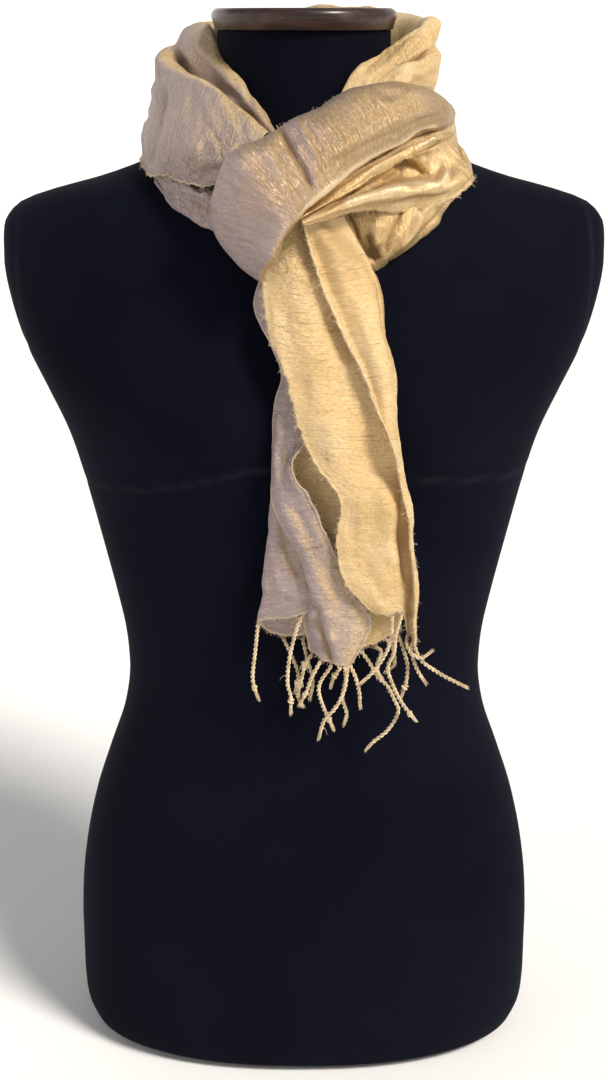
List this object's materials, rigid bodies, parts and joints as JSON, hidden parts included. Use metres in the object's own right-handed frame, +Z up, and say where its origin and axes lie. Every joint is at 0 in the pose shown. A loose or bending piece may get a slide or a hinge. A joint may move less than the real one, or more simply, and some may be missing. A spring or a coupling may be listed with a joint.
{
  "type": "fringed scarf on a limbless dress form",
  "caption": "Fringed woven scarf folded double, pulled through its own loop round the neck of a limbless dress form that stands on a flat base.",
  "frame": {"origin": "centre of the dress form's flat base, at the floor", "axes": "+Z up along the form's axis, -Y the way the form faces, +X to the right of someone who looks at its front"},
  "size_m": [0.414, 0.2741, 0.757],
  "materials": {
    "jersey": "matt black stretch jersey",
    "cap_wood": "dark brown lacquered wood",
    "silk": "slubbed raw silk with a soft satin sheen",
    "cord": "twisted silk yarn"
  },
  "bodies": {
    "root": {"dress_form": "jersey", "neck_cap": "cap_wood", "collar_back": "silk", "collar_left": "silk", "collar_left_low": "silk", "collar_right": "silk", "knot_band": "silk", "knot_lobe": "silk", "loop_under": "silk", "tail_front": "silk", "tail_under": "silk", "tail_inner": "silk", "tail_side": "silk", "fringe_front": "cord", "fringe_under": "cord", "fringe_inner": "cord", "fringe_side": "cord"}
  },
  "joints": []
}
